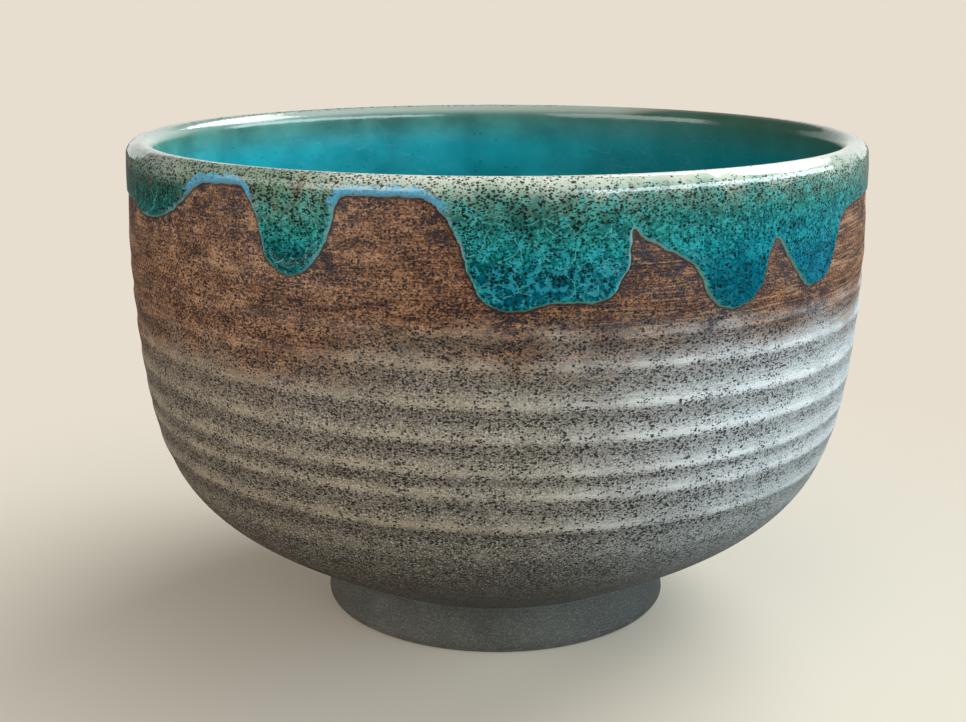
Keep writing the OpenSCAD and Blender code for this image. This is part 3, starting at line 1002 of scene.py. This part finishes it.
def paint_lip(s):
    """The lip, with painted shade at its ends and at the back, and the inside below it."""
    x, fall = s.x, s.fall
    far = s.fade(s.y, -32, 2)
    shaded = s.times(s.math("MAXIMUM", far, s.fade(x, -34, -50)), s.fade(fall, 4, 2))
    lip = s.mix(s.fade(x, 22, 38), *FAR_LIP_SHADE_LEFT_RIGHT)
    # Painted shade on the back of the lip and at its left end.
    s.over(s.mix(s.fade(x, -44, -54), lip, LEFT_END_LIP_SHADE), shaded, 0.9)
    # Painted shade at the lip's right end.
    s.over(RIGHT_END_LIP_SHADE, s.fade(x, 42, 54), s.fade(s.y, 14, 2), s.fade(fall, 2.5, 0.8), 0.75)
    over_lip = s.plus(fall, s.times(far, s.fade(x, 22, 38, 0.3, -1.0)))
    s.over(pool_colour(s, s.minus(LIP_INSIDE, fall)), s.fade(over_lip, -1.6, -2.7))


def paint_edge(s):
    """Sky blue where the coat is thin, and pale fringes along the runs."""
    x, fall = s.x, s.fall
    ragged = s.plus(s.depth, s.times(s.swing(0.5, 3, shift=29), 2.0))
    sky = s.times(s.fade(fall, 4.6, 3.4), s.fade(ragged, 1.35, 0.85), s.fade(x, 20, 6))
    s.over(SKY_FRINGE, sky, 0.85)
    patchy = s.fade(s.noise(2.2, 2, shift=37), 0.38, 0.58, 0.25, 1.0)
    s.over(PALE_FRINGE, s.fade(ragged, 0.6, 0.15), s.fade(fall, 15, 8), s.fade(x, 27, 23),
           patchy, 0.7)
    wandering = s.plus(s.depth, s.times(s.wander, 0.3))
    s.over(CREAM_FRINGE, s.fade(wandering, 0.34, 0.12), s.fade(x, -6, 10, 0.4, 1.0), 0.6)
    return sky


def paint_marks(s):
    """Rust near the lip, and the crackle, whose fine dark lines are returned."""
    x, fall = s.x, s.fall
    s.over(RUST, s.fade(s.noise(1.6, 3, 0.6, 0.6, shift=33), 0.60, 0.68), s.fade(fall, -1, 1),
           s.fade(fall, 8, 3), s.fade(x, 0, -20, 0.45, 0.8))
    lower = s.times(s.fade(fall, 2.5, 6), s.fade(s.depth, 0.3, 0.9))
    fine = s.times(crackle_lines(s, 1.0, 0.20), lower)
    s.over(DARK_CRACK, fine, 0.65)
    s.over(PALE_CRACK, crackle_lines(s, 3.4, 0.10), lower, s.fade(x, 30, 22), 0.42)
    s.over(CRUMPLE, s.fade(facets(s, 0.75), 0.62, 0.70), s.fade(fall, 6, 10),
           s.fade(s.depth, 0.4, 1.0), s.fade(x, 24, 18, 0.12, 0.4),
           s.fade(s.left, 0, 1, 1.0, 0.3))
    return fine


def paint_rim_specks(s, sky):
    """Iron grains, thickest along the lip and rare on the sky-blue edge and inside."""
    x, fall = s.x, s.fall
    near_lip = s.times(s.fade(fall, -1.6, -0.6), s.fade(fall, 6.0, 2.5))
    body = s.times(s.fade(fall, 1, 3), s.fade(fall, 17, 12, 0.4, 1.0))
    # Painted highlight: fewer grains on the right of the front lip, where the highlight lies.
    density = s.plus(s.times(near_lip, s.fade(x, -8, -24, 0.48, 0.80)),
                     s.times(body, s.fade(x, 0, 25, 0.46, 0.32)),
                     s.times(s.swing(2.4, 2, shift=41), 1.3),
                     s.times(s.fade(x, 6, 20), s.fade(fall, 2.0, 1.0), -0.45), 0.15)
    s.over(RIM_SPECK, iron_specks(s, density, shift=5), s.fade(s.depth, 0.1, 0.5),
           s.fade(fall, -1.7, -0.8), s.fade(sky, 0.3, 0.8, 1.0, 0.35), 0.92)


def rim_shine(s):
    """Specular level: full on the lip, low on the runs and at the right end."""
    runs = s.fade(s.plus(s.fall, s.times(s.left, 3.0)), 2.5, 6.0, 0.7, 0.08)
    right_end = s.times(s.fade(s.x, 36, 50), s.fade(s.y, -25, -8))
    return s.times(runs, s.fade(right_end, 0, 1, 1.0, 0.35))


def rim_material():
    s = RimGlaze()
    paint_coat(s)
    paint_depths(s)
    paint_lip(s)
    sky = paint_edge(s)
    crackle = paint_marks(s)
    paint_rim_specks(s, sky)
    return finish_glaze(s, crackle, s.fade(s.fall, -3.4, -1.6, 0.2, 0.1),
                        **{"Specular IOR Level": rim_shine(s)})


def dress(piece, material, node):
    piece.data.materials.append(material)
    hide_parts(node)
    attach(piece, "root")


# ---------- stage, camera and light
def floor_material():
    """Pale paper under the bowl, which turns to the plain background further out."""
    s = Shader("floor_paper")
    seen = s.add("LightPath").outputs["Is Camera Ray"]
    s.feed(s.surface.inputs["Base Color"], s.mix(seen, FLOOR_BOUNCE, FLOOR_PAPER))
    s.feed(s.surface.inputs["Roughness"], 0.9)
    s.feed(s.surface.inputs["Specular IOR Level"], 0.1)
    radius = s.vector("LENGTH", s.mm)["Value"]
    glow = s.add("Emission", Color=BACKGROUND).outputs[0]
    far = s.times(seen, s.fade(radius, *SHADOW_FADE))
    mixed = s.feed_all(s.add("MixShader"), far, s.surface.outputs[0], glow)
    s.feed(s.output.inputs[0], mixed)
    return s.material


def make_stage():
    mesh = bpy.data.meshes.new("floor")
    turns = np.linspace(0, 2 * math.pi, 64, endpoint=False)
    ring = [(FLOOR_R * math.cos(a), FLOOR_R * math.sin(a), 0) for a in turns]
    mesh.from_pydata(ring, [], [tuple(range(len(ring)))])
    mesh.materials.append(floor_material())
    floor = bpy.data.objects.new("floor", mesh)
    bpy.context.scene.collection.objects.link(floor)


def make_world():
    """The background that the camera sees, and a weak cool fill for everything else."""
    world = bpy.data.worlds.new("studio")
    bpy.context.scene.world = world
    world.use_nodes = True
    tree = world.node_tree
    tree.nodes.clear()

    def background(colour, strength):
        node = tree.nodes.new("ShaderNodeBackground")
        node.inputs["Color"].default_value = colour
        node.inputs["Strength"].default_value = strength
        return node.outputs[0]

    seen = tree.nodes.new("ShaderNodeLightPath").outputs["Is Camera Ray"]
    mixed = tree.nodes.new("ShaderNodeMixShader")
    sources = (seen, background(WORLD_FILL, WORLD_FILL_STRENGTH),
               background(linear(BACKGROUND), 1.0))
    for source, socket in zip(sources, mixed.inputs):
        tree.links.new(source, socket)
    output = tree.nodes.new("ShaderNodeOutputWorld")
    tree.links.new(mixed.outputs[0], output.inputs[0])


def make_lamps():
    for name, place, width, height, watts, colour in LAMPS:
        lamp = bpy.data.lights.new(name, "AREA")
        lamp.shape = "RECTANGLE"
        lamp.size = width
        lamp.size_y = height
        lamp.energy = watts
        lamp.color = colour
        item = bpy.data.objects.new(name, lamp)
        item.location = place
        aim = Vector(LAMP_TARGET) - Vector(place)
        item.rotation_euler = aim.to_track_quat("-Z", "Y").to_euler()
        bpy.context.scene.collection.objects.link(item)


def make_camera():
    data = bpy.data.cameras.new("camera")
    data.lens = CAMERA_LENS
    data.sensor_width = CAMERA_SENSOR
    data.clip_start = CAMERA_NEAR
    camera = bpy.data.objects.new("camera", data)
    camera.location = CAMERA_PLACE
    camera.rotation_euler = (math.radians(CAMERA_TILT), 0, math.radians(CAMERA_PAN))
    bpy.context.scene.collection.objects.link(camera)
    bpy.context.scene.camera = camera


make_camera()
make_stage()
make_world()
make_lamps()
dress(make_clay(), clay_material(), "clay_body")
dress(make_foot(), foot_material(), "foot_ring")
dress(make_liner(), liner_material(), "liner_glaze")
dress(make_rim(), rim_material(), "rim_glaze")

bpy.context.scene.view_settings.view_transform = "Standard"
